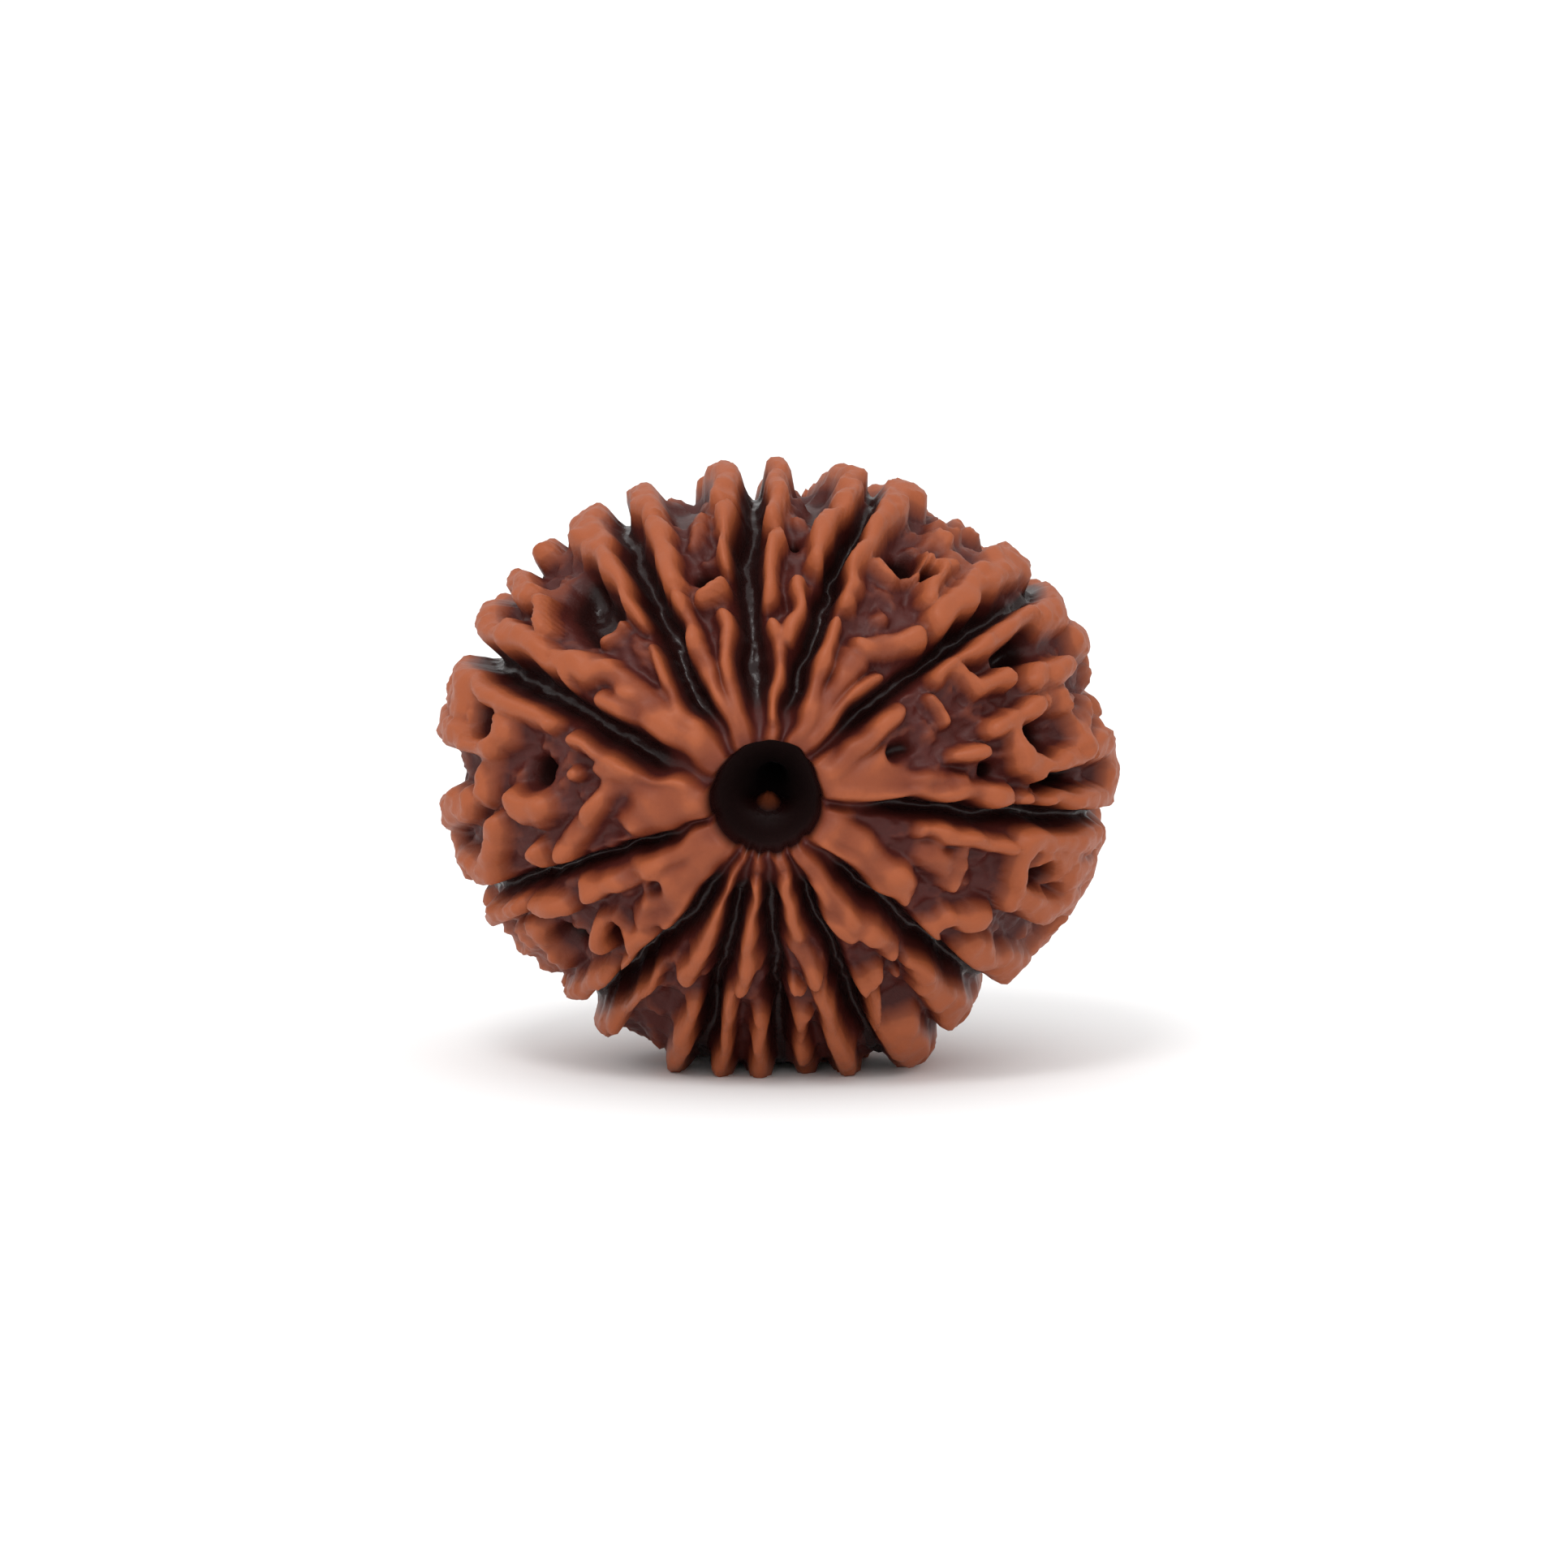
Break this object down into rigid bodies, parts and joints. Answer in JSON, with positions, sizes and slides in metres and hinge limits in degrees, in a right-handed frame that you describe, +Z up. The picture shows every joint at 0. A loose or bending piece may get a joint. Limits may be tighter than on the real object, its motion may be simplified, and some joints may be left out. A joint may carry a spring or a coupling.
{
  "type": "rudraksha bead",
  "caption": "Round seed stone with deep grooves from hole to hole and knobbly crests between them, pierced along its axis for threading.",
  "frame": {"origin": "on the surface the bead rests on, below the middle of its box", "axes": "+X along the bead's width, +Y along its hole from the front to the back, +Z up"},
  "size_m": [0.026, 0.0204, 0.0232],
  "materials": {
    "stone": "satin, oiled, almost black in the grooves"
  },
  "bodies": {
    "root": {"bead": "stone"}
  },
  "joints": []
}
